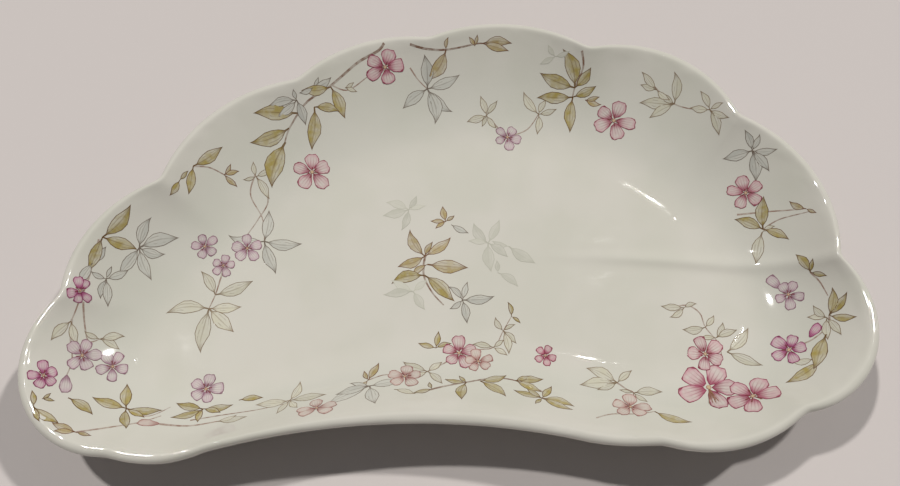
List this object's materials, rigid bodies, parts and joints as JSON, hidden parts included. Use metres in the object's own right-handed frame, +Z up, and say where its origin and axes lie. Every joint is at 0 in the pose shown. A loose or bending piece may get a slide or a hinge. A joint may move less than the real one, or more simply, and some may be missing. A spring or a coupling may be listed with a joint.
{
  "type": "bone dish",
  "caption": "Half-moon porcelain side dish with a scalloped, round-edged rim, a broad curved wall, a moulded rib running in from one notch, and a foot ring.",
  "frame": {"origin": "under the middle of the dish's plan, on the surface that it stands on", "axes": "+X along the length to the end with the rib, +Y across to the convex side, +Z up"},
  "size_m": [0.1698, 0.1031, 0.017],
  "materials": {
    "glazed_porcelain": "clear gloss glaze over warm white porcelain",
    "bare_porcelain": "bare, ground porcelain tread"
  },
  "bodies": {
    "root": {"dish_body": "glazed_porcelain", "foot_ring": "bare_porcelain"}
  },
  "joints": []
}
